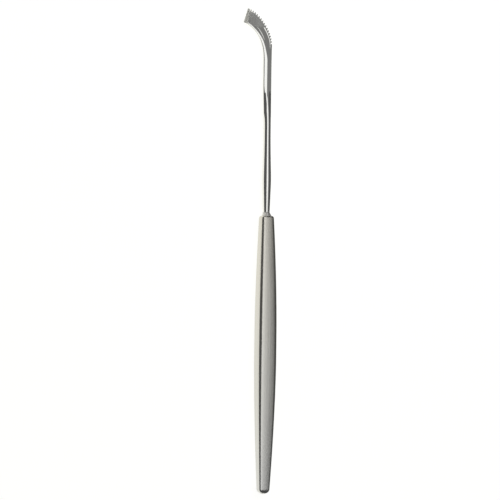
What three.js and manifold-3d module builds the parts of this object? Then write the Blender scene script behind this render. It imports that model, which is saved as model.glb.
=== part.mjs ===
// A curved, toothed dissector: one forged blade, shank and tang, soldered into a hollow handle.
// Millimetres, +Z up. The tool lies on the flat underside of its handle. Its blade end points along +Y
// and hooks towards -X. Every piece is drawn about the handle's own axis, with Y measured from the butt,
// and the finished group is then moved so that its origin is under the middle of the whole tool.

import * as THREE from "three";
import { mergeVertices } from "three/addons/utils/BufferGeometryUtils.js";
import Module from "manifold-3d";

const wasm = await Module();
wasm.setup();

// ---- Driving dimensions -------------------------------------------------------------------------

const LENGTH = 222; // butt to tip
const GAP = 0.3; // kept between pieces that solder joins on the real tool
const OVERCUT = 1; // how far a cutting solid reaches past what it cuts

// Handle: a hollow bar of rounded rectangular section, largest at its belly.
const HANDLE_END = 127.3; // neck end of the handle
const BELLY_AT = 68;
const BELLY_FLAT = 6; // half of the stretch over which the belly keeps one size
const BELLY_WIDTH = 9.2;
const NECK_WIDTH = 6.22;
const BUTT_WIDTH = 5.05;
const NECK_TAPER = 1.75; // exponents of the swelling towards the neck and towards the butt
const BUTT_TAPER = 1.6;
const DEPTH_SHARE = 0.845; // the section's height as a share of its width
const BUTT_CORNER_SHARE = 0.18; // corner radius as a share of the width
const NECK_CORNER_SHARE = 0.245;
const BOW = 0.25; // how far the handle's middle stands out to +X of its two ends
const WALL = 0.6;
const INNER_CORNER = 0.15; // least corner radius inside the handle
const SHOULDER = 1.3; // length of the rounding at the neck end
const SHOULDER_SHARE = 0.77; // width of the flat that the solder sits on, as a share of the neck's

// Butt plug: a dome that closes the handle, on a spigot inside it.
const DOME = 2.2;
const DOME_TIP_SHARE = 0.3; // width of the dome's end as a share of the butt's
const SPIGOT_END = 6;

// Tang, and the sleeve that centres it in the handle.
const TANG_START = 104;
const TANG_RADIUS = 1;
const TANG_POINT = 1.5; // length of the tang's chamfered end
const SLEEVE_START = 107;
const SLEEVE_END = 125.3;

// Solder fillet at the neck.
const FILLET_FOOT_RADIUS = 2.4;
const FILLET_TOP_RADIUS = 1.6;
const FILLET_TOP = 129.2;

// Shank: round, with a slight bulge above the neck and a waist below the blade.
const SHANK_START = FILLET_TOP + GAP;
const SHANK_DIAMETERS = [
  [SHANK_START, 3.25],
  [136, 3.75],
  [144, 4.2],
  [151, 3.9],
  [159, 3.55],
  [178, 3.45],
  [198, 3.3],
];
const BLADE_ROOT = 198; // where the shank ends and the blade begins
const ROOT_BLEND = [168, 188]; // where the round shank turns into the root's section
const NECK_OFFSET = -0.2; // how far the shank's two ends stand from the handle's axis
const BLADE_OFFSET = -0.4;

// Blade: a low upright back, a chamfer that rises to a crest, and a flank that falls to the toothed edge.
// Sizes are given at shares of the blade's length.
const ROOT_EDGE = new THREE.Vector2(1.28, BLADE_ROOT);
const EDGE_STRAIGHT_END = new THREE.Vector2(1.5, 206);
const EDGE_PULLS = [new THREE.Vector2(1.9, 210.6), new THREE.Vector2(-3.5, 219.95)];
const EDGE_TIP = new THREE.Vector2(-10.3, LENGTH);
const ROOT_BACK = new THREE.Vector2(-2.5, BLADE_ROOT);
const BACK_PULLS = [new THREE.Vector2(-2.35, 205.7), new THREE.Vector2(-4.4, 211.5)];
const BACK_TIP = new THREE.Vector2(-12.1, 215.55);
const SIZE_AT = [0, 0.3, 0.7, 1];
const BACK_HEIGHT = [0.5, 0.52, 0.57, 0.78]; // each height is half of a thickness
const CREST_HEIGHT = [0.93, 0.8, 0.73, 0.93];
const CHAMFER_REACH = [1.55, 1, 0.6, 0.55];
const EDGE_HEIGHT = [0.6, 0.3, 0.27, 0.27];
const END_SLANT = THREE.MathUtils.degToRad(37); // how far the blade's end is ground over from upright

// Teeth along the convex edge, counted from the tip.
const TEETH = 16;
const TOOTH_PITCH = 1.32;
const TOOTH_DEPTH = 0.8;
const LONG_TOOTH_DEPTH = 1.1; // of the gaps beside the two teeth at the tip
const TOOTH_TIP_WIDTH = 0.34;
const GULLET_SHARE = 0.5; // width of a gap's bottom as a share of its mouth

// Fineness of the solids.
const CORNER_STEPS = 4;
const HANDLE_STATIONS = 7; // few, so that the flats of the underside are long enough to lie on
const SHANK_STATIONS = 36;
const BLADE_STATIONS = 24;
const SIDE_STEPS = [3, 5, 2, 5, 3, 1]; // steps along the six sides of a shank or blade section
const SHOULDER_STEPS = 5;
const DOME_STEPS = 6;
const SLEEVE_STATIONS = 6;
const FILLET_STEPS = 6;
const ROUND_SEGMENTS = 32;

// ---- Materials ----------------------------------------------------------------------------------

const satinSteel = new THREE.MeshStandardMaterial({ color: 0xb4b2aa, roughness: 0.4, metalness: 1 });
const polishedSteel = new THREE.MeshStandardMaterial({ color: 0xc8c8c6, roughness: 0.12, metalness: 1 });
const solder = new THREE.MeshStandardMaterial({ color: 0xdedcd4, roughness: 0.2, metalness: 1 });
const plainSteel = new THREE.MeshStandardMaterial({ color: 0x9a9a96, roughness: 0.6, metalness: 1 });

// ---- Solids and booleans ------------------------------------------------------------------------

function mix(a, b, share) {
  return a + (b - a) * share;
}

function solidOf(geometry) {
  const bare = geometry.clone();
  bare.deleteAttribute("normal");
  bare.deleteAttribute("uv");
  const merged = mergeVertices(bare, 1e-4);
  const vertProperties = merged.attributes.position.array;
  const triVerts = new Uint32Array(merged.index.array);
  return new wasm.Manifold(new wasm.Mesh({ numProp: 3, vertProperties, triVerts }));
}

function pieceOf(name, solid, material) {
  const { vertProperties, triVerts } = solid.getMesh();
  const geometry = new THREE.BufferGeometry();
  geometry.setAttribute("position", new THREE.BufferAttribute(vertProperties, 3));
  geometry.setIndex(new THREE.BufferAttribute(triVerts, 1));
  geometry.computeVertexNormals();
  const piece = new THREE.Mesh(geometry, material);
  piece.name = name;
  return piece;
}

// A closed skin through a row of sections. Each section is a list of points, all of one length, that
// runs counterclockwise as seen from the far end of the row.
function loft(sections) {
  const count = sections[0].length;
  const last = (sections.length - 1) * count;
  const index = [];
  for (let row = 0; row < sections.length - 1; row++) {
    for (let i = 0; i < count; i++) {
      const a = row * count + i;
      const b = row * count + ((i + 1) % count);
      index.push(a, b, b + count);
      index.push(a, b + count, a + count);
    }
  }
  for (let i = 1; i < count - 1; i++) {
    index.push(0, i + 1, i);
    index.push(last, last + i, last + i + 1);
  }
  const geometry = new THREE.BufferGeometry().setFromPoints(sections.flat());
  geometry.setIndex(index);
  return geometry;
}

function rod(radius, fromY, toY) {
  const geometry = new THREE.CylinderGeometry(radius, radius, toY - fromY, ROUND_SEGMENTS);
  return solidOf(geometry.translate(0, (fromY + toY) / 2, 0));
}

// ---- Handle -------------------------------------------------------------------------------------

// Width of the handle at y, before its two ends are rounded.
function swelling(y) {
  const isNeck = y > BELLY_AT;
  const past = Math.max(0, Math.abs(y - BELLY_AT) - BELLY_FLAT);
  const reach = (isNeck ? HANDLE_END - BELLY_AT : BELLY_AT) - BELLY_FLAT;
  const endWidth = isNeck ? NECK_WIDTH : BUTT_WIDTH;
  const taper = isNeck ? NECK_TAPER : BUTT_TAPER;
  return BELLY_WIDTH - (BELLY_WIDTH - endWidth) * (past / reach) ** taper;
}

// A quarter ellipse that takes a width down to a share of itself over the last stretch before an end.
function roundedOff(width, endShare, distanceToEnd, stretch) {
  const share = Math.min(1, distanceToEnd / stretch);
  return width * mix(endShare, 1, Math.sqrt(1 - (1 - share) ** 2));
}

// The handle's section at y, drawn in from its surface by an inset.
function handleSection(y, width, inset = 0) {
  const cornerShare = mix(BUTT_CORNER_SHARE, NECK_CORNER_SHARE, y / HANDLE_END);
  const radius = Math.max(INNER_CORNER, width * cornerShare - inset);
  const centreX = width / 2 - inset - radius;
  const centreZ = (width * DEPTH_SHARE) / 2 - inset - radius;
  const middle = BOW * (1 - ((2 * y) / HANDLE_END - 1) ** 2);
  const points = [];
  // Corners in turn: +X +Z, +X -Z, -X -Z, -X +Z.
  for (let corner = 0; corner < 4; corner++) {
    const x = middle + (corner < 2 ? centreX : -centreX);
    const z = corner % 3 === 0 ? centreZ : -centreZ;
    for (let step = 0; step <= CORNER_STEPS; step++) {
      const angle = (corner + step / CORNER_STEPS) * (Math.PI / 2);
      points.push(new THREE.Vector3(x + radius * Math.sin(angle), y, z + radius * Math.cos(angle)));
    }
  }
  return points;
}

// Stations from one y to another that always include the two ends of the belly's flat.
function handleStations(fromY, toY, count) {
  const even = Array.from({ length: count + 1 }, (_, i) => fromY + ((toY - fromY) * i) / count);
  const flatEnds = [BELLY_AT - BELLY_FLAT, BELLY_AT + BELLY_FLAT].filter((y) => y > fromY && y < toY);
  const insideFlat = (y) => Math.abs(y - BELLY_AT) < BELLY_FLAT;
  return [...even.filter((y) => !insideFlat(y)), ...flatEnds].sort((a, b) => a - b);
}

function wholeShell() {
  const start = DOME + GAP;
  const shoulderStart = HANDLE_END - SHOULDER;
  const sides = handleStations(start, shoulderStart, HANDLE_STATIONS).map((y) =>
    handleSection(y, swelling(y)),
  );
  const shoulder = Array.from({ length: SHOULDER_STEPS }, (_, i) => {
    const rise = Math.sin(((i + 1) / SHOULDER_STEPS) * (Math.PI / 2));
    const width = roundedOff(swelling(shoulderStart), SHOULDER_SHARE, 1 - rise, 1);
    return handleSection(shoulderStart + SHOULDER * rise, width);
  });
  const cavity = handleStations(start - OVERCUT, shoulderStart, HANDLE_STATIONS).map((y) =>
    handleSection(y, swelling(y), WALL),
  );
  const hole = rod(TANG_RADIUS + GAP, shoulderStart - OVERCUT, HANDLE_END + OVERCUT);
  return solidOf(loft([...sides, ...shoulder])).subtract(solidOf(loft(cavity))).subtract(hole);
}

// The shell is pressed in two halves that meet along two opposite corners.
const SEAM_LEAN = Math.atan(DEPTH_SHARE);

function shellHalf(shell, turn) {
  const size = 2 * LENGTH;
  const half = new THREE.BoxGeometry(size, size, size).translate(0, 0, (size + GAP) / 2).rotateY(turn);
  return shell.intersect(solidOf(half));
}

function buttPlug() {
  const dome = Array.from({ length: DOME_STEPS + 1 }, (_, i) => {
    const y = DOME * (1 - Math.cos((i / DOME_STEPS) * (Math.PI / 2)));
    return handleSection(y, roundedOff(swelling(y), DOME_TIP_SHARE, y, DOME));
  });
  const spigot = [DOME, SPIGOT_END].map((y) => handleSection(y, swelling(y), WALL + GAP));
  return solidOf(loft([...dome, ...spigot]));
}

function tangSleeve() {
  const stations = handleStations(SLEEVE_START, SLEEVE_END, SLEEVE_STATIONS);
  const body = solidOf(loft(stations.map((y) => handleSection(y, swelling(y), WALL + GAP))));
  return body.subtract(rod(TANG_RADIUS + GAP, SLEEVE_START - OVERCUT, SLEEVE_END + OVERCUT));
}

// ---- Neck ---------------------------------------------------------------------------------------

function solderFillet() {
  const foot = HANDLE_END + GAP;
  const bore = TANG_RADIUS + GAP;
  const flank = new THREE.QuadraticBezierCurve(
    new THREE.Vector2(FILLET_FOOT_RADIUS, foot),
    new THREE.Vector2(FILLET_TOP_RADIUS, mix(foot, FILLET_TOP, 1 / 3)),
    new THREE.Vector2(FILLET_TOP_RADIUS, FILLET_TOP),
  );
  const outside = flank.getPoints(FILLET_STEPS);
  const profile = [new THREE.Vector2(bore, foot), ...outside, new THREE.Vector2(bore, FILLET_TOP)];
  return solidOf(new THREE.LatheGeometry([...profile, profile[0]], ROUND_SEGMENTS));
}

// ---- Blade, shank and tang ----------------------------------------------------------------------

const edgeCurve = new THREE.CurvePath();
edgeCurve.add(new THREE.LineCurve(ROOT_EDGE, EDGE_STRAIGHT_END));
edgeCurve.add(new THREE.CubicBezierCurve(EDGE_STRAIGHT_END, ...EDGE_PULLS, EDGE_TIP));
const backCurve = new THREE.CubicBezierCurve(ROOT_BACK, ...BACK_PULLS, BACK_TIP);

// A size at a share of the blade's length, eased from each place where it is given to the next.
function sized(sizes, along) {
  const i = Math.min(SIZE_AT.length - 2, SIZE_AT.findLastIndex((place) => place <= along));
  return mix(sizes[i], sizes[i + 1], THREE.MathUtils.smoothstep(along, SIZE_AT[i], SIZE_AT[i + 1]));
}

// The six-sided section at a share of the blade's length, from the back's upper corner over the crest and
// the edge, and back by the underside.
function bladeSection(along) {
  const back = backCurve.getPointAt(along);
  const edge = edgeCurve.getPointAt(along);
  const crest = back.clone().lerp(edge, sized(CHAMFER_REACH, along) / back.distanceTo(edge));
  const upper = [
    new THREE.Vector3(back.x, back.y, sized(BACK_HEIGHT, along)),
    new THREE.Vector3(crest.x, crest.y, sized(CREST_HEIGHT, along)),
    new THREE.Vector3(edge.x, edge.y, sized(EDGE_HEIGHT, along)),
  ];
  const lower = upper.map(({ x, y, z }) => new THREE.Vector3(x, y, -z)).reverse();
  const corners = [...upper, ...lower];
  return corners.flatMap((corner, i) => {
    const next = corners[(i + 1) % corners.length];
    const steps = SIDE_STEPS[i];
    return Array.from({ length: steps }, (_, k) => corner.clone().lerp(next, k / steps));
  });
}

// A circle whose points stand in the same directions as those of the blade's root.
function roundSection(x, y, radius) {
  return bladeSection(0).map((point) => {
    const angle = Math.atan2(point.x - BLADE_OFFSET, point.z);
    return new THREE.Vector3(x + radius * Math.sin(angle), y, radius * Math.cos(angle));
  });
}

function shankSections() {
  const diameters = new THREE.SplineCurve(SHANK_DIAMETERS.map(([y, d]) => new THREE.Vector2(y, d)));
  const root = bladeSection(0);
  return diameters.getPoints(SHANK_STATIONS).slice(0, -1).map(({ x: y, y: diameter }) => {
    const middle = mix(NECK_OFFSET, BLADE_OFFSET, (y - SHANK_START) / (BLADE_ROOT - SHANK_START));
    const share = THREE.MathUtils.smoothstep(y, ...ROOT_BLEND);
    return roundSection(middle, y, diameter / 2).map((point, i) =>
      point.lerp(new THREE.Vector3(root[i].x, y, root[i].z), share),
    );
  });
}

function bladeSections() {
  return Array.from({ length: BLADE_STATIONS + 1 }, (_, i) => bladeSection(i / BLADE_STATIONS));
}

// The plane that the blade's end is ground to. It leans back from the end's lower side, and it faces the
// rest of the tool.
function endPlane() {
  const back = new THREE.Vector3(BACK_TIP.x, BACK_TIP.y, -CREST_HEIGHT.at(-1));
  const edge = new THREE.Vector3(EDGE_TIP.x, EDGE_TIP.y, -EDGE_HEIGHT.at(-1));
  const inward = new THREE.Vector3(edge.y - back.y, back.x - edge.x, 0).normalize();
  const above = back.clone().addScaledVector(inward, Math.sin(END_SLANT));
  above.z += Math.cos(END_SLANT);
  return new THREE.Plane().setFromCoplanarPoints(back, edge, above);
}

// The cutter that leaves the gap between one tooth and the next.
function toothGap(number) {
  const length = edgeCurve.getLength();
  const along = 1 - ((number + 0.5) * TOOTH_PITCH) / length;
  const middle = edgeCurve.getPointAt(along);
  const tangent = edgeCurve.getTangentAt(along);
  const outward = new THREE.Vector2(tangent.y, -tangent.x);
  const halfMouth = (TOOTH_PITCH - TOOTH_TIP_WIDTH) / 2;
  const depth = number < 2 ? LONG_TOOTH_DEPTH : TOOTH_DEPTH;
  const corner = (side, height) =>
    middle.clone().addScaledVector(tangent, side).addScaledVector(outward, height);
  const outline = new THREE.Shape([
    corner(-halfMouth * GULLET_SHARE, -depth),
    corner(halfMouth * GULLET_SHARE, -depth),
    corner(halfMouth, 0),
    corner(halfMouth, depth),
    corner(-halfMouth, depth),
    corner(-halfMouth, 0),
  ]);
  const height = 4 * Math.max(...EDGE_HEIGHT);
  const cutter = new THREE.ExtrudeGeometry(outline, { depth: height, bevelEnabled: false });
  return solidOf(cutter.translate(0, 0, -height / 2));
}

function bladeAndShank() {
  const tang = [
    roundSection(0, TANG_START, TANG_RADIUS / 2),
    roundSection(0, TANG_START + TANG_POINT, TANG_RADIUS),
    roundSection(0, SHANK_START, TANG_RADIUS),
  ];
  let forging = solidOf(loft([...tang, ...shankSections(), ...bladeSections()]));
  for (let number = 0; number < TEETH; number++) {
    forging = forging.subtract(toothGap(number));
  }
  const { normal, constant } = endPlane();
  return forging.trimByPlane(normal.toArray(), -constant);
}

// ---- Assembly -----------------------------------------------------------------------------------

const shell = wholeShell();

const tool = new THREE.Group();
tool.add(
  pieceOf("blade_and_shank", bladeAndShank(), polishedSteel),
  pieceOf("neck_solder_fillet", solderFillet(), solder),
  pieceOf("handle_shell_front", shellHalf(shell, -SEAM_LEAN), satinSteel),
  pieceOf("handle_shell_back", shellHalf(shell, Math.PI - SEAM_LEAN), satinSteel),
  pieceOf("tang_sleeve", tangSleeve(), plainSteel),
  pieceOf("butt_plug", buttPlug(), satinSteel),
);

// The origin is on the surface that the tool lies on, under the middle of the tool's box.
const box = new THREE.Box3().setFromObject(tool);
const middle = box.getCenter(new THREE.Vector3());
tool.position.set(-middle.x, -middle.y, -box.min.z);

const part = new THREE.Group();
part.add(tool);

export default part;
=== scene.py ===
"""The looks of a curved, toothed dissector on a hollow tapered handle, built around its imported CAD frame.

Shapes are worked out in millimetres about the handle's own axis, with y measured from the butt, and are
moved into the frame's metres when each mesh is made.
"""

import math

import bpy
import numpy as np
from mathutils import Matrix, Vector


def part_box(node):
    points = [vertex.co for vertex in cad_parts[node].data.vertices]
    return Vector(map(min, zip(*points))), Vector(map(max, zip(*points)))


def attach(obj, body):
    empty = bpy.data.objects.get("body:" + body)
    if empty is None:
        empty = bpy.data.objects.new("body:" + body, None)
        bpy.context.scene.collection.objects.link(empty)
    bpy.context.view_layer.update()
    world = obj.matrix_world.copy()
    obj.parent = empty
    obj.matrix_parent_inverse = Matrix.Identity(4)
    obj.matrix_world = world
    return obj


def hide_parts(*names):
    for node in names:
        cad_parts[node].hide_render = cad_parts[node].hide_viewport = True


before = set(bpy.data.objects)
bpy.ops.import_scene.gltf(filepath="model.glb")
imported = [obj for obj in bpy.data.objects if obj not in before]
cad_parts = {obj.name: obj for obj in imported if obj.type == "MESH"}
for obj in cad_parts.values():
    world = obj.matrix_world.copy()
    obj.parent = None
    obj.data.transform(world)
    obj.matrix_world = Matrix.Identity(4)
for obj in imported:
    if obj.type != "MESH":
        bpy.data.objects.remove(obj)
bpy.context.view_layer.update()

MM = 0.001

# ---- The handle's axis, read from the frame -------------------------------------------------------

fillet_low, fillet_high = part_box("neck_solder_fillet")
fillet_middle = (fillet_low + fillet_high) / 2
AXIS = Vector((fillet_middle.x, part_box("butt_plug")[0].y, fillet_middle.z))
BODY = "root"

# ---- Sizes in millimetres, as in the CAD model but for the gaps between pieces --------------------

LENGTH = 222.0
HANDLE_END = 127.3
BELLY_AT = 68.0
BELLY_FLAT = 6.0
BOW = 0.25  # how far the handle's middle stands out to +x of its two ends
BELLY_WIDTH = 9.2
NECK_WIDTH = 6.22
BUTT_WIDTH = 5.05
NECK_TAPER = 1.75
BUTT_TAPER = 1.6
DEPTH_SHARE = 0.845  # the section's height as a share of its width
BUTT_CORNER_SHARE = 0.18  # corner radius as a share of the width, at the butt
NECK_CORNER_SHARE = 0.245
CROWN = math.radians(2.5)  # how far each side's surface turns between its middle and its corner
WALL = 0.6
SHOULDER = 1.3
SHOULDER_SHARE = 0.77
DOME = 2.2
SPIGOT_END = 6.0
FIT_GAP = 0.02  # hairline left between pieces that are ground flush
SPIGOT_GAP = 0.1

TANG_RADIUS = 1.0
TANG_START = 104.0
TANG_CHAMFER = 1.5  # length over which the tang narrows to its point
TANG_POINT_RADIUS = 0.5
FILLET_FOOT_RADIUS = 2.4
FILLET_TOP = 129.2
FILLET_HOLLOW = 1.6  # 1 would make the fillet a straight cone
SHANK_START = FILLET_TOP + FIT_GAP
SHANK_DIAMETERS = [
    (SHANK_START, 3.25),
    (136, 3.75),
    (144, 4.2),
    (151, 3.9),
    (159, 3.55),
    (178, 3.45),
    (198, 3.3),
]
BLADE_ROOT = 198.0
ROOT_BLEND = (168, 188)  # where the round shank turns into the root's section
NECK_OFFSET = -0.2  # how far the shank's two ends stand from the handle's axis
BLADE_OFFSET = -0.4
ROOT_BACK = (-2.5, BLADE_ROOT)
ROOT_EDGE = (1.28, BLADE_ROOT)

EDGE_STRAIGHT_END = (1.5, 206)
EDGE_PULLS = [(1.9, 210.6), (-3.5, 219.95)]
EDGE_TIP = (-10.3, LENGTH)
BACK_PULLS = [(-2.35, 205.7), (-4.4, 211.5)]
BACK_TIP = (-12.1, 215.55)

TEETH = 16
TOOTH_PITCH = 1.32
TOOTH_DEPTH = 0.8
LONG_TOOTH_DEPTH = 1.1  # of the gaps nearest to the tip
LONG_GAPS = 2
TOOTH_TIP_WIDTH = 0.34
GAP_FULLNESS = 2.6  # 2 would make the gaps between teeth parabolas, and more makes them squarer

# ---- Mesh building --------------------------------------------------------------------------------


def to_frame(point):
    """A point in millimetres about the handle's axis, in the frame's metres."""
    return AXIS + Vector(point) * MM


def make_piece(name, points, faces, material, replaced, sharp_degrees=30):
    """A smooth-shaded mesh piece that rides on the tool and stands for CAD nodes."""
    mesh = bpy.data.meshes.new(name)
    mesh.from_pydata([to_frame(p) for p in points], [], faces)
    mesh.validate()
    mesh.polygons.foreach_set("use_smooth", [True] * len(mesh.polygons))
    mesh.set_sharp_from_angle(angle=math.radians(sharp_degrees))
    mesh.materials.append(material)
    piece = bpy.data.objects.new(name, mesh)
    bpy.context.scene.collection.objects.link(piece)
    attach(piece, BODY)
    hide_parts(replaced)
    return piece


def ring_strip(rings, closed_rings=True, wrap=False):
    """Faces that join each ring of point numbers to the next one."""
    faces = []
    pairs = list(zip(rings, rings[1:]))
    if wrap:
        pairs.append((rings[-1], rings[0]))
    for low, high in pairs:
        count = len(low)
        for i in range(count if closed_rings else count - 1):
            j = (i + 1) % count
            faces.append((low[i], low[j], high[j], high[i]))
    return faces


def loft(sections):
    """Points and faces of a closed skin through sections that run counterclockwise seen from the end."""
    count = len(sections[0])
    points = [p for section in sections for p in section]
    rings = [[row * count + i for i in range(count)] for row in range(len(sections))]
    faces = ring_strip(rings)
    faces.append(tuple(reversed(rings[0])))
    faces.append(tuple(rings[-1]))
    return points, faces


def flipped(faces):
    return [tuple(reversed(face)) for face in faces]


def mix(a, b, share):
    return a + (b - a) * share


def smoothstep(value, low, high):
    share = min(1.0, max(0.0, (value - low) / (high - low)))
    return share * share * (3 - 2 * share)


# ---- Handle ---------------------------------------------------------------------------------------

CORNER_STEPS = 12
SIDE_STEPS = 6
SHELL_STATIONS = 126
SHOULDER_STEPS = 9
DOME_STEPS = 24
DOME_FROM = math.radians(3)  # a small flat closes the dome's middle


def swelling(y):
    """Width of the handle at y."""
    is_neck = y > BELLY_AT
    past = max(0.0, abs(y - BELLY_AT) - BELLY_FLAT)
    reach = (HANDLE_END - BELLY_AT if is_neck else BELLY_AT) - BELLY_FLAT
    end_width = NECK_WIDTH if is_neck else BUTT_WIDTH
    taper = NECK_TAPER if is_neck else BUTT_TAPER
    return BELLY_WIDTH - (BELLY_WIDTH - end_width) * (past / reach) ** taper


def quarter_ellipse(share):
    """Height of a quarter ellipse, 1 where the share is 1 and 0, upright, where it is 0."""
    return math.sqrt(1 - (1 - min(1.0, max(0.0, share))) ** 2)


def normal_angles():
    """Directions, from straight up towards +x, of the normals round a section. They start halfway round
    the corner at -x, -z and run over the -x and +z sides."""
    half_corner = CORNER_STEPS // 2
    angles = []
    for facing in (-90, 0, 90, 180):
        side = math.radians(facing)
        corner = math.pi / 4
        angles += list(np.linspace(side - corner, side - CROWN, half_corner, endpoint=False))
        angles += list(np.linspace(side - CROWN, side + CROWN, SIDE_STEPS, endpoint=False))
        angles += list(np.linspace(side + CROWN, side + corner, half_corner, endpoint=False))
    return angles


NORMALS = normal_angles()


def handle_outline(width, y):
    """Points (x, z) round a rectangle with crowned sides and round corners."""
    half_x = width / 2
    half_z = half_x * DEPTH_SHARE
    radius = width * mix(BUTT_CORNER_SHARE, NECK_CORNER_SHARE, y / HANDLE_END)
    lean = math.tan(CROWN / 2)
    inner_x, inner_z = half_x - radius, half_z - radius
    corner_x = (inner_x - lean * inner_z) / (1 - lean**2)
    corner_z = (inner_z - lean * inner_x) / (1 - lean**2)
    top_radius = radius + corner_x / math.sin(CROWN)
    side_radius = radius + corner_z / math.sin(CROWN)
    outline = []
    for angle in NORMALS:
        across, up = math.sin(angle), math.cos(angle)
        way_x, way_z = math.copysign(1, across), math.copysign(1, up)
        if abs(across) < math.sin(CROWN) + 1e-9:
            x = top_radius * across
            z = way_z * (half_z - top_radius) + top_radius * up
        elif abs(up) < math.sin(CROWN) + 1e-9:
            x = way_x * (half_x - side_radius) + side_radius * across
            z = side_radius * up
        else:
            x = way_x * corner_x + radius * across
            z = way_z * corner_z + radius * up
        outline.append((x, z))
    return outline


def round_outline(radius):
    """Points (x, z) of a circle that pair with those of handle_outline."""
    return [(radius * math.sin(angle), radius * math.cos(angle)) for angle in NORMALS]


def at_y(outline, y):
    """A section's outline, placed on the handle's slightly bowed axis."""
    bow = BOW * (1 - (2 * y / HANDLE_END - 1) ** 2)
    return [(x + bow, y, z) for x, z in outline]


def shell_rings():
    """Pairs of outer and inner rings of the whole shell, from the butt to the hole for the tang."""
    pairs = []
    shoulder_start = HANDLE_END - SHOULDER
    for y in np.linspace(DOME + FIT_GAP, shoulder_start, SHELL_STATIONS):
        outer = handle_outline(swelling(y), y)
        inner = handle_outline(swelling(y) - 2 * WALL, y)
        pairs.append((at_y(outer, y), at_y(inner, y)))
    width = swelling(shoulder_start)
    end_width = width * SHOULDER_SHARE
    for turn in np.linspace(0, math.pi / 2, SHOULDER_STEPS)[1:]:
        rise = math.sin(turn)
        outer_y = shoulder_start + SHOULDER * rise
        inner_y = shoulder_start + (SHOULDER - WALL) * rise
        outer_width = mix(end_width, width, quarter_ellipse(1 - rise))
        outer = handle_outline(outer_width, outer_y)
        inner = handle_outline(outer_width - 2 * WALL, inner_y)
        pairs.append((at_y(outer, outer_y), at_y(inner, inner_y)))
    hole = round_outline(TANG_RADIUS + FIT_GAP)
    pairs.append((at_y(hole, HANDLE_END), at_y(hole, HANDLE_END - WALL)))
    return pairs


def shell_half(name, node, material, back_half):
    """One pressed half: the -x and +z sides, or the other two, with its seams along two corners."""
    pairs = shell_rings()
    total = len(NORMALS)
    first = total // 2 if back_half else 0
    chosen = [(first + i) % total for i in range(total // 2 + 1)]
    outer = [[ring[i] for i in chosen] for ring, _ in pairs]
    inner = [[ring[i] for i in chosen] for _, ring in pairs]
    points = [p for ring in outer + inner for p in ring]
    count, rows = len(chosen), len(pairs)
    numbers = [[row * count + i for i in range(count)] for row in range(2 * rows)]
    outer_rings, inner_rings = numbers[:rows], numbers[rows:]
    faces = ring_strip(outer_rings, closed_rings=False)
    faces += flipped(ring_strip(inner_rings, closed_rings=False))
    seams = []
    for end in (0, -1):
        pairs_at_end = [[out[end], into[end]] for out, into in zip(outer_rings, inner_rings)]
        seams.append(ring_strip(pairs_at_end, closed_rings=False))
    faces += flipped(seams[0]) + seams[1]
    rims = [ring_strip([outer_rings[row], inner_rings[row]], closed_rings=False) for row in (0, -1)]
    faces += flipped(rims[0]) + rims[1]
    return make_piece(name, points, faces, material, node)


def butt_plug(material):
    """The domed end cap, on a spigot inside the shell."""
    sections = []
    for turn in np.linspace(DOME_FROM, math.pi / 2, DOME_STEPS):
        y = DOME * (1 - math.cos(turn))
        sections.append(at_y(handle_outline(swelling(y) * math.sin(turn), y), y))
    spigot = handle_outline(swelling(DOME) - 2 * (WALL + SPIGOT_GAP), DOME)
    sections += [at_y(spigot, DOME), at_y(spigot, SPIGOT_END)]
    points, faces = loft(sections)
    return make_piece("butt_plug_cap", points, faces, material, "butt_plug")


# ---- Neck -----------------------------------------------------------------------------------------

FILLET_SEGMENTS = 64
FILLET_STEPS = 14


def solder_fillet(material):
    """A concave cone of solder, slightly uneven, as flowed by hand."""
    foot = HANDLE_END + FIT_GAP
    top_radius = SHANK_DIAMETERS[0][1] / 2 - FIT_GAP
    bore = TANG_RADIUS + FIT_GAP
    angles = [2 * math.pi * i / FILLET_SEGMENTS for i in range(FILLET_SEGMENTS)]
    sections = []
    for step in range(FILLET_STEPS + 1):
        share = step / FILLET_STEPS
        y = mix(foot, FILLET_TOP, share)
        concave = (1 - share) ** FILLET_HOLLOW
        ring = []
        for angle in angles:
            uneven = 1 + 0.05 * math.sin(3 * angle + 5 * share) + 0.03 * math.sin(5 * angle - 9 * share)
            radius = top_radius + (FILLET_FOOT_RADIUS - top_radius) * concave * uneven
            x = NECK_OFFSET * share + radius * math.sin(angle)
            ring.append((x, y, radius * math.cos(angle)))
        sections.append(ring)
    for y in (FILLET_TOP, foot):
        sections.append([(bore * math.sin(angle), y, bore * math.cos(angle)) for angle in angles])
    points = [p for section in sections for p in section]
    rings = [[row * FILLET_SEGMENTS + i for i in range(FILLET_SEGMENTS)] for row in range(len(sections))]
    faces = ring_strip(rings, wrap=True)
    return make_piece("neck_solder", points, faces, material, "neck_solder_fillet")


# ---- Blade, shank and tang ------------------------------------------------------------------------


class Path:
    """A plane curve through finely spaced points, read by its share of the length."""

    def __init__(self, points):
        self.points = np.array(points, float)
        steps = np.linalg.norm(np.diff(self.points, axis=0), axis=1)
        self.along = np.concatenate([[0], np.cumsum(steps)])
        self.length = self.along[-1]

    def at(self, share, setback=0.0):
        """The point at a share of the length, less a distance in millimetres."""
        distance = share * self.length - setback
        return np.array([np.interp(distance, self.along, self.points[:, k]) for k in (0, 1)])


def bezier(a, b, c, d, steps=400):
    t = np.linspace(0, 1, steps)[:, None]
    a, b, c, d = (np.array(p, float) for p in (a, b, c, d))
    return a * (1 - t) ** 3 + 3 * b * t * (1 - t) ** 2 + 3 * c * t * t * (1 - t) + d * t**3


edge_path = Path(np.vstack([[ROOT_EDGE], bezier(EDGE_STRAIGHT_END, *EDGE_PULLS, EDGE_TIP)]))
back_path = Path(bezier(ROOT_BACK, *BACK_PULLS, BACK_TIP))

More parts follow.
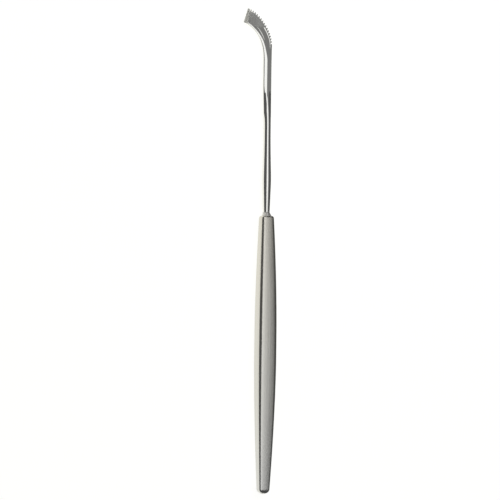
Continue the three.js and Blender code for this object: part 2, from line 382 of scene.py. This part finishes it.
# The upper half of the section, from the back to the edge: a low upright back, a chamfer that rises to
# the crest, and a flank that falls to the edge. Each row gives a size in millimetres at the root, at the
# start of the curve, at its middle and at the tip.
SIZE_AT = (0, 0.3, 0.7, 1)
BACK_HEIGHT = (0.5, 0.52, 0.57, 0.78)
CREST_HEIGHT = (0.93, 0.8, 0.73, 0.93)
CHAMFER_REACH = (1.55, 1.0, 0.6, 0.55)
EDGE_HEIGHT = (0.6, 0.3, 0.27, 0.27)
BACK_ROUNDING = 0.1
BACK_BREAK = 0.45  # share of the back's height at which it has a middle row of points
END_SLANT = math.tan(math.radians(37))  # the tip's end is ground over, further back on top
SLANT_FROM = 0.9

# Stretches of the flank, as shares of its width: a facet along the crest, which widens towards the tip, a
# narrow ridge beside it, the hollow-ground face, a second ridge, and the bevel that the teeth are cut in.
# The second ridge widens where the face runs out into the tip, which is ground flat.
FORMED_BETWEEN = (0.05, 0.3)  # shares of the length between which these stretches take shape
FACET_SHARE = 0.18
FACET_FROM = 0.2
FACET_FULL = 0.6
FACET_SLOPE = 0.2
CREST_RIDGE = 0.07
EDGE_RIDGE = 0.1
EDGE_RIDGE_WIDENED = 0.24
WIDENED_BETWEEN = (0.6, 0.74)
CREST_RIDGE_RISE = 0.035
EDGE_RIDGE_RISE = 0.05
BEVEL_FROM = 0.77
BEVEL_DROP = 0.18
GROUND_FROM = 213.3  # y above which the tip is ground flat
GROUND_FULL = 214.0


def sized(sizes, along):
    """A size from one of the rows above, eased from each place to the next."""
    for (start, low), (stop, high) in zip(zip(SIZE_AT, sizes), list(zip(SIZE_AT, sizes))[1:]):
        if along <= stop:
            return mix(low, high, smoothstep(along, start, stop))
    return sizes[-1]


def flank_profile(along, width):
    """Shares of the flank's width, and the heights there, short of the tip's flat ground."""
    crest, edge = sized(CREST_HEIGHT, along), sized(EDGE_HEIGHT, along)
    formed = smoothstep(along, *FORMED_BETWEEN)
    faceted = smoothstep(along, FACET_FROM, FACET_FULL)
    facet = FACET_SHARE * faceted
    ridge = mix(EDGE_RIDGE, EDGE_RIDGE_WIDENED, smoothstep(along, *WIDENED_BETWEEN))
    facet_foot = crest - FACET_SLOPE * facet * width
    ridge_top = facet_foot + CREST_RIDGE_RISE * CREST_RIDGE * width * faceted
    bevel_top = edge + BEVEL_DROP
    shares = [0, facet, facet + CREST_RIDGE, BEVEL_FROM - ridge, BEVEL_FROM, 1]
    heights = [crest, facet_foot, ridge_top, bevel_top - EDGE_RIDGE_RISE * ridge * width, bevel_top, edge]
    return shares, [mix(mix(crest, edge, share), z, formed) for share, z in zip(shares, heights)]


# Shares of the flank's width at which it has points, closest beside the ridges, and how far each height is
# averaged to either side.
COLUMNS = (0, 0.03, 0.08, 0.13, 0.17, 0.19, 0.24, 0.26, 0.32, 0.4, 0.47, 0.51,
           0.54, 0.58, 0.62, 0.66, 0.68, 0.72, 0.765, 0.785, 0.83, 0.88, 0.94, 1.0)
SOFTENING = 0.012
BLADE_STATIONS = 26
BLADE_SHARP_DEGREES = 25  # so that the low ridges keep their edges
SHANK_STATIONS = 110


def upper_outline(along, back_y, edge_y, width, depth):
    """Points (across, z) of the section's upper half, from the back's middle to the edge's middle. depth
    is how far a gap between teeth cuts into the edge here."""
    back_height = sized(BACK_HEIGHT, along)
    crest_height = sized(CREST_HEIGHT, along)
    reach = sized(CHAMFER_REACH, along)
    half = [(0, 0), (0, back_height * BACK_BREAK), (0, back_height - BACK_ROUNDING)]
    rise = (crest_height - back_height) / reach
    for turn in (30, 60, 90):
        out = BACK_ROUNDING * (1 - math.cos(math.radians(turn)))
        up = BACK_ROUNDING * math.sin(math.radians(turn))
        half.append((out, back_height - BACK_ROUNDING + up + rise * out))
    for share in (0.4, 0.7):
        across = mix(BACK_ROUNDING, reach, share)
        half.append((across, back_height + rise * across))
    shares, heights = flank_profile(along, width - reach)
    last = 1 - depth / (width - reach)
    for share in COLUMNS:
        if share > BEVEL_FROM:
            share = mix(BEVEL_FROM, last, (share - BEVEL_FROM) / (1 - BEVEL_FROM))
        around = (share - SOFTENING, share, share + SOFTENING)
        hollow = sum(np.interp(around, shares, heights)) / 3
        across = mix(reach, width, share)
        ground = smoothstep(mix(back_y, edge_y, across / width), GROUND_FROM, GROUND_FULL)
        half.append((across, mix(hollow, mix(heights[0], heights[-1], share), ground)))
    half.append((mix(reach, width, last), 0))
    return half


def full_section(along, depth=0.0):
    """The whole section, counterclockwise seen from the tip: over the top to the edge and back below."""
    back, edge = back_path.at(along), edge_path.at(along)
    width = np.linalg.norm(edge - back)
    slant = END_SLANT * smoothstep(along, SLANT_FROM, 1)
    half = upper_outline(along, back[1], edge[1], width, depth)
    outline = half + [(across, -z) for across, z in reversed(half[1:-1])]
    section = []
    for across, z in outline:
        lowest = -mix(CREST_HEIGHT[-1], EDGE_HEIGHT[-1], across / width)
        setback = slant * (z - lowest)
        start, stop = back_path.at(along, setback), edge_path.at(along, setback)
        x, y = start + (stop - start) * (across / width)
        section.append((x, y, z))
    return section


def tooth_stations():
    """Distances from the tip along the edge, with how deep the gap between teeth is there."""
    half_mouth = (TOOTH_PITCH - TOOTH_TIP_WIDTH) / 2
    stations = []
    for number in range(TEETH):
        middle = (number + 0.5) * TOOTH_PITCH
        full_depth = LONG_TOOTH_DEPTH if number < LONG_GAPS else TOOTH_DEPTH
        for share in (-1, -0.9, -0.75, -0.5, -0.2, 0.2, 0.5, 0.75, 0.9, 1):
            depth = full_depth * (1 - abs(share) ** GAP_FULLNESS)
            stations.append((middle + share * half_mouth, depth))
    return stations


def blade_sections():
    teeth = tooth_stations()
    toothed = max(distance for distance, _ in teeth) / edge_path.length
    plain = [(along, 0.0) for along in np.linspace(0, 1 - toothed, BLADE_STATIONS)[:-1]]
    cut = [(1 - distance / edge_path.length, depth) for distance, depth in reversed(teeth)]
    return [full_section(along, depth) for along, depth in plain + cut + [(1.0, 0.0)]]


def shank_sections():
    """From the neck to the blade's root: round at first, then turning into the root's section."""
    ys = [y for y, _ in SHANK_DIAMETERS]
    diameters = spline_through(SHANK_DIAMETERS)
    root = full_section(0)
    sections = []
    for y in np.linspace(ys[0], ys[-1], SHANK_STATIONS)[:-1]:
        middle = mix(NECK_OFFSET, BLADE_OFFSET, (y - SHANK_START) / (BLADE_ROOT - SHANK_START))
        share = smoothstep(y, *ROOT_BLEND)
        radius = diameters(y) / 2
        section = []
        for x, _, z in root:
            angle = math.atan2(x - BLADE_OFFSET, z)
            round_x = middle + radius * math.sin(angle)
            round_z = radius * math.cos(angle)
            section.append((mix(round_x, x, share), y, mix(round_z, z, share)))
        sections.append(section)
    return sections


def spline_through(rows):
    """A smooth function through the rows (Catmull-Rom on uneven steps)."""
    xs = np.array([r[0] for r in rows], float)
    ys = np.array([r[1] for r in rows], float)
    slopes = np.gradient(ys, xs)

    def value(x):
        i = int(np.clip(np.searchsorted(xs, x) - 1, 0, len(xs) - 2))
        step = xs[i + 1] - xs[i]
        t = (x - xs[i]) / step
        low = (1 + 2 * t) * (1 - t) ** 2 * ys[i] + t * (1 - t) ** 2 * step * slopes[i]
        high = t * t * (3 - 2 * t) * ys[i + 1] + t * t * (t - 1) * step * slopes[i + 1]
        return low + high

    return value


def tang_sections(first_shank_section):
    """The thin tang inside the handle, with a chamfered end."""
    sections = []
    stations = [
        (TANG_START, TANG_POINT_RADIUS),
        (TANG_START + TANG_CHAMFER, TANG_RADIUS),
        (SHANK_START, TANG_RADIUS),
    ]
    for y, radius in stations:
        ring = []
        for x, _, z in first_shank_section:
            angle = math.atan2(x - NECK_OFFSET, z)
            ring.append((radius * math.sin(angle), y, radius * math.cos(angle)))
        sections.append(ring)
    return sections


def blade_and_shank(material):
    shank = shank_sections()
    sections = tang_sections(shank[0]) + shank + blade_sections()
    points, faces = loft(sections)
    name, node, slot_name = "blade_shank_and_tang", "blade_and_shank", "polished_steel"
    return make_piece(name, points, faces, material, node, BLADE_SHARP_DEGREES)


# ---- Materials ------------------------------------------------------------------------------------


NOISE_MIDDLE = (0.3, 0.7)  # the range that most of a noise's values fall in


class Shader:
    """A bare metal's node tree, with short ways to add and join its nodes."""

    def __init__(self, name):
        self.material = bpy.data.materials.new(name)
        self.material.use_nodes = True
        self.tree = self.material.node_tree
        self.tree.nodes.clear()
        self.surface = self.add("ShaderNodeBsdfPrincipled")
        self.surface.inputs["Metallic"].default_value = 1.0
        self.output = self.add("ShaderNodeOutputMaterial")
        self.join(self.surface, "BSDF", self.output, "Surface")
        self.place = self.add("ShaderNodeTexCoord")

    def add(self, kind, **settings):
        node = self.tree.nodes.new(kind)
        for key, value in settings.items():
            setattr(node, key, value)
        return node

    def join(self, source, output, target, socket):
        self.tree.links.new(source.outputs[output], target.inputs[socket])

    def stretched(self, scale, turn=0.0):
        """The object's own coordinates in millimetres, turned about z and scaled along each axis."""
        mapping = self.add("ShaderNodeMapping")
        mapping.inputs["Scale"].default_value = [s / MM for s in scale]
        turned = self.add("ShaderNodeMapping")
        turned.inputs["Rotation"].default_value = (0, 0, turn)
        self.join(self.place, "Object", turned, "Vector")
        self.join(turned, "Vector", mapping, "Vector")
        return mapping

    def noise(self, scale, detail=2.0, turn=0.0):
        texture = self.add("ShaderNodeTexNoise")
        texture.inputs["Scale"].default_value = 1.0
        texture.inputs["Detail"].default_value = detail
        self.join(self.stretched(scale, turn), "Vector", texture, "Vector")
        return texture

    def ramp(self, source, low, high, output="Fac"):
        """The source's middle range spread from low to high."""
        spread = self.add("ShaderNodeMapRange")
        spread.inputs["From Min"].default_value = NOISE_MIDDLE[0]
        spread.inputs["From Max"].default_value = NOISE_MIDDLE[1]
        spread.inputs["To Min"].default_value = low
        spread.inputs["To Max"].default_value = high
        self.join(source, output, spread, "Value")
        return spread

    def shades(self, source, dark, light):
        """A colour that wanders between two close shades."""
        shades = self.add("ShaderNodeMix", data_type="RGBA")
        shades.inputs["A"].default_value = (*dark, 1)
        shades.inputs["B"].default_value = (*light, 1)
        self.join(self.ramp(source, 0, 1), "Result", shades, "Factor")
        return shades

    def tint(self, source, dark, light):
        """A base colour that wanders between two close shades."""
        self.join(self.shades(source, dark, light), "Result", self.surface, "Base Color")

    def shade_along(self, source, at_butt, at_neck):
        """The base colour, which turns from one pair of shades to another along the handle."""
        split = self.add("ShaderNodeSeparateXYZ")
        self.join(self.place, "Object", split, "Vector")
        along = self.add("ShaderNodeMapRange")
        along.inputs["From Min"].default_value = AXIS.y
        along.inputs["From Max"].default_value = AXIS.y + HANDLE_END * MM
        self.join(split, "Y", along, "Value")
        turn = self.add("ShaderNodeMix", data_type="RGBA")
        self.join(along, "Result", turn, "Factor")
        for socket, shades in (("A", at_butt), ("B", at_neck)):
            self.join(self.shades(source, *shades), "Result", turn, socket)
        self.join(turn, "Result", self.surface, "Base Color")

    def bump(self, source, output, height_mm, previous=None):
        node = self.add("ShaderNodeBump")
        node.inputs["Strength"].default_value = 1.0
        node.inputs["Distance"].default_value = height_mm * MM
        self.join(source, output, node, "Height")
        if previous is not None:
            self.join(previous, "Normal", node, "Normal")
        return node


NEAR_BUTT_SHADES = ((0.53, 0.53, 0.515), (0.58, 0.58, 0.56))
NEAR_NECK_SHADES = ((0.565, 0.545, 0.49), (0.615, 0.595, 0.54))


def satin_steel():
    """Steel brushed along the handle: fine lines, with softer and broader streaks between them."""
    shader = Shader("satin_steel_brushed")
    lines = shader.noise((9, 0.03, 9), detail=4)
    streaks = shader.noise((1.3, 0.02, 1.3), detail=3)
    shader.shade_along(streaks, NEAR_BUTT_SHADES, NEAR_NECK_SHADES)
    rough = shader.ramp(streaks, 0.22, 0.28)
    shader.join(rough, "Result", shader.surface, "Roughness")
    fine = shader.bump(lines, "Fac", 0.002)
    shader.join(fine, "Normal", shader.surface, "Normal")
    return shader.material


def polished_steel():
    """Steel polished by hand, with faint scratches, and left with grinding lines near the tip."""
    shader = Shader("polished_steel_hand_finished")
    scratches = shader.noise((10, 0.12, 10), detail=3)
    grinding = shader.noise((0.12, 7, 3), detail=4, turn=math.radians(38))
    waves = shader.noise((0.35, 0.06, 0.35), detail=1)
    shader.tint(scratches, (0.72, 0.72, 0.69), (0.78, 0.78, 0.75))
    split = shader.add("ShaderNodeSeparateXYZ")
    shader.join(shader.place, "Object", split, "Vector")
    ground = shader.add("ShaderNodeMapRange")
    ground.inputs["From Min"].default_value = AXIS.y + GROUND_FROM * MM
    ground.inputs["From Max"].default_value = AXIS.y + GROUND_FULL * MM
    shader.join(split, "Y", ground, "Value")
    rough = shader.add("ShaderNodeMix")
    rough.inputs["A"].default_value = 0.08
    rough.inputs["B"].default_value = 0.2
    shader.join(ground, "Result", rough, "Factor")
    shader.join(rough, "Result", shader.surface, "Roughness")
    cut = shader.add("ShaderNodeMath", operation="MULTIPLY")
    shader.join(ground, "Result", cut, 0)
    shader.join(grinding, "Fac", cut, 1)
    ground_lines = shader.bump(cut, "Value", 0.02)
    wavy = shader.bump(waves, "Fac", 0.02, previous=ground_lines)
    scratched = shader.bump(scratches, "Fac", 0.0012, previous=wavy)
    shader.join(scratched, "Normal", shader.surface, "Normal")
    return shader.material


def bright_solder():
    """Solder that froze in ripples."""
    shader = Shader("bright_flowed_solder")
    ripples = shader.noise((1.2, 1.9, 1.2), detail=2)
    shader.tint(ripples, (0.86, 0.85, 0.81), (0.95, 0.94, 0.91))
    rough = shader.ramp(ripples, 0.5, 0.6)
    shader.join(rough, "Result", shader.surface, "Roughness")
    rippled = shader.bump(ripples, "Fac", 0.7)
    shader.join(rippled, "Normal", shader.surface, "Normal")
    return shader.material


def turned_steel():
    """Dull steel with the marks of turning round it."""
    shader = Shader("turned_steel_dull")
    marks = shader.noise((0.3, 12, 0.3), detail=2)
    shader.tint(marks, (0.42, 0.42, 0.41), (0.5, 0.5, 0.49))
    rough = shader.ramp(marks, 0.45, 0.6)
    shader.join(rough, "Result", shader.surface, "Roughness")
    return shader.material


# ---- Camera, floor and light ----------------------------------------------------------------------

VIEW_TURN = math.radians(22)  # how far the view stands off straight above, towards the blade's hook
VIEW_ROLL = math.radians(0.748)  # lean of the tool in the picture
VIEW_DISTANCE = 1.3
PICTURE_MM = 228.95  # height of the picture at the tool
AIM_Y_MM = 111.73
AIM_LEFT_MM = 7.34
SENSOR_MM = 36.0


def add_camera():
    towards = Vector((-math.sin(VIEW_TURN), 0, math.cos(VIEW_TURN)))
    level = Vector((math.cos(VIEW_TURN), 0, math.sin(VIEW_TURN)))
    along = Vector((0, 1, 0))
    right = level * math.cos(VIEW_ROLL) + along * math.sin(VIEW_ROLL)
    up = along * math.cos(VIEW_ROLL) - level * math.sin(VIEW_ROLL)
    aim = to_frame((0, AIM_Y_MM, 0)) - right * AIM_LEFT_MM * MM
    camera = bpy.data.objects.new("camera", bpy.data.cameras.new("camera"))
    camera.data.sensor_width = SENSOR_MM
    camera.data.lens = SENSOR_MM * VIEW_DISTANCE / (PICTURE_MM * MM)
    camera.data.clip_end = 100
    rows = Matrix((right, up, towards)).transposed().to_4x4()
    camera.matrix_world = Matrix.Translation(aim + towards * VIEW_DISTANCE) @ rows
    bpy.context.scene.collection.objects.link(camera)
    bpy.context.scene.camera = camera


ROOM_LEFT = 0.135
ROOM_RIGHT = 0.12
FLOOR_GLOW = 0.9
FLOOR_HALF = 4.0
MIRRORED_RIGHT = 0.010
MIRRORED_Z = -0.0002
SHEET_GREY = 0.3
FLOOR_TINT = (1, 1, 0.98)
MIRRORED_TINT = (1, 0.99, 0.93)
SOFTBOX_HEIGHT = 0.7
SOFTBOX_NEAR = -0.4
SOFTBOX_FAR = 1.4
# Name, reach either side of straight up as seen from the tool (degrees, +x positive), and brightness.
SOFTBOXES = [
    ("overhead_softbox", -16, 21.5, 1.1),
    ("side_softbox", 21.5, 47, 0.14),
]


def add_lights():
    length = SOFTBOX_FAR - SOFTBOX_NEAR
    middle_y = (SOFTBOX_FAR + SOFTBOX_NEAR) / 2
    for name, low, high, radiance in SOFTBOXES:
        left = SOFTBOX_HEIGHT * math.tan(math.radians(low))
        right = SOFTBOX_HEIGHT * math.tan(math.radians(high))
        middle_x = (left + right) / 2
        light = bpy.data.lights.new(name, "AREA")
        light.shape = "RECTANGLE"
        light.size = right - left
        light.size_y = length
        light.energy = radiance * math.pi * light.size * light.size_y
        lamp = bpy.data.objects.new(name, light)
        lamp.location = (middle_x, middle_y, SOFTBOX_HEIGHT)
        lamp.visible_camera = False
        bpy.context.scene.collection.objects.link(lamp)


def set_world():
    """Dim surroundings for the steel to mirror, a little lighter on the left, and a pale backdrop."""
    world = bpy.data.worlds.new("studio")
    bpy.context.scene.world = world
    world.use_nodes = True
    tree = world.node_tree
    tree.nodes.clear()
    direction = tree.nodes.new("ShaderNodeTexCoord")
    parts = tree.nodes.new("ShaderNodeSeparateXYZ")
    spread = tree.nodes.new("ShaderNodeMapRange")
    spread.inputs["From Min"].default_value = -0.5
    spread.inputs["From Max"].default_value = 0.5
    spread.inputs["To Min"].default_value = ROOM_LEFT
    spread.inputs["To Max"].default_value = ROOM_RIGHT
    dim = tree.nodes.new("ShaderNodeBackground")
    pale = tree.nodes.new("ShaderNodeBackground")
    pale.inputs["Color"].default_value = (1, 1, 1, 1)
    path = tree.nodes.new("ShaderNodeLightPath")
    chosen = tree.nodes.new("ShaderNodeMixShader")
    output = tree.nodes.new("ShaderNodeOutputWorld")
    tree.links.new(direction.outputs["Generated"], parts.inputs["Vector"])
    tree.links.new(parts.outputs["X"], spread.inputs["Value"])
    tree.links.new(spread.outputs["Result"], dim.inputs["Strength"])
    tree.links.new(path.outputs["Is Camera Ray"], chosen.inputs["Fac"])
    tree.links.new(dim.outputs["Background"], chosen.inputs[1])
    tree.links.new(pale.outputs["Background"], chosen.inputs[2])
    tree.links.new(chosen.outputs["Shader"], output.inputs["Surface"])


def stage_sheet(name, low, high, z, glow):
    """A flat pale sheet, lit partly from itself so that it stays even and nearly shadowless."""
    material = bpy.data.materials.new(name)
    material.use_nodes = True
    surface = material.node_tree.nodes["Principled BSDF"]
    surface.inputs["Base Color"].default_value = (SHEET_GREY, SHEET_GREY, SHEET_GREY, 1)
    surface.inputs["Roughness"].default_value = 1.0
    surface.inputs["Specular IOR Level"].default_value = 0.0
    surface.inputs["Emission Color"].default_value = (*glow, 1)
    surface.inputs["Emission Strength"].default_value = FLOOR_GLOW
    corners = [
        (low[0], low[1], z),
        (high[0], low[1], z),
        (high[0], high[1], z),
        (low[0], high[1], z),
    ]
    mesh = bpy.data.meshes.new(name)
    mesh.from_pydata(corners, [], [(0, 1, 2, 3)])
    mesh.materials.append(material)
    sheet = bpy.data.objects.new(name, mesh)
    bpy.context.scene.collection.objects.link(sheet)
    return sheet


def add_floor():
    """The floor that is seen, and the part of it that the steel mirrors, which stops at MIRRORED_RIGHT so
    that the steel mirrors the dim surroundings past it, and these keep that side's edges dark."""
    near_left, far_right = (-FLOOR_HALF, -FLOOR_HALF), (FLOOR_HALF, FLOOR_HALF)
    floor = stage_sheet("floor", near_left, far_right, 0, FLOOR_TINT)
    floor.visible_glossy = False
    far_middle = (MIRRORED_RIGHT, FLOOR_HALF)
    mirrored = stage_sheet("mirrored_floor", near_left, far_middle, MIRRORED_Z, MIRRORED_TINT)
    mirrored.visible_camera = False
    mirrored.visible_diffuse = False
    mirrored.visible_shadow = False


# ---- Assembly -------------------------------------------------------------------------------------

add_camera()
set_world()
add_lights()
add_floor()

satin = satin_steel()
shell_half("handle_front_half", "handle_shell_front", satin, back_half=False)
shell_half("handle_back_half", "handle_shell_back", satin, back_half=True)
butt_plug(satin)
solder_fillet(bright_solder())
blade_and_shank(polished_steel())
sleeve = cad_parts["tang_sleeve"]
sleeve.data.materials.clear()
sleeve.data.materials.append(turned_steel())

bpy.context.scene.view_settings.view_transform = "Standard"
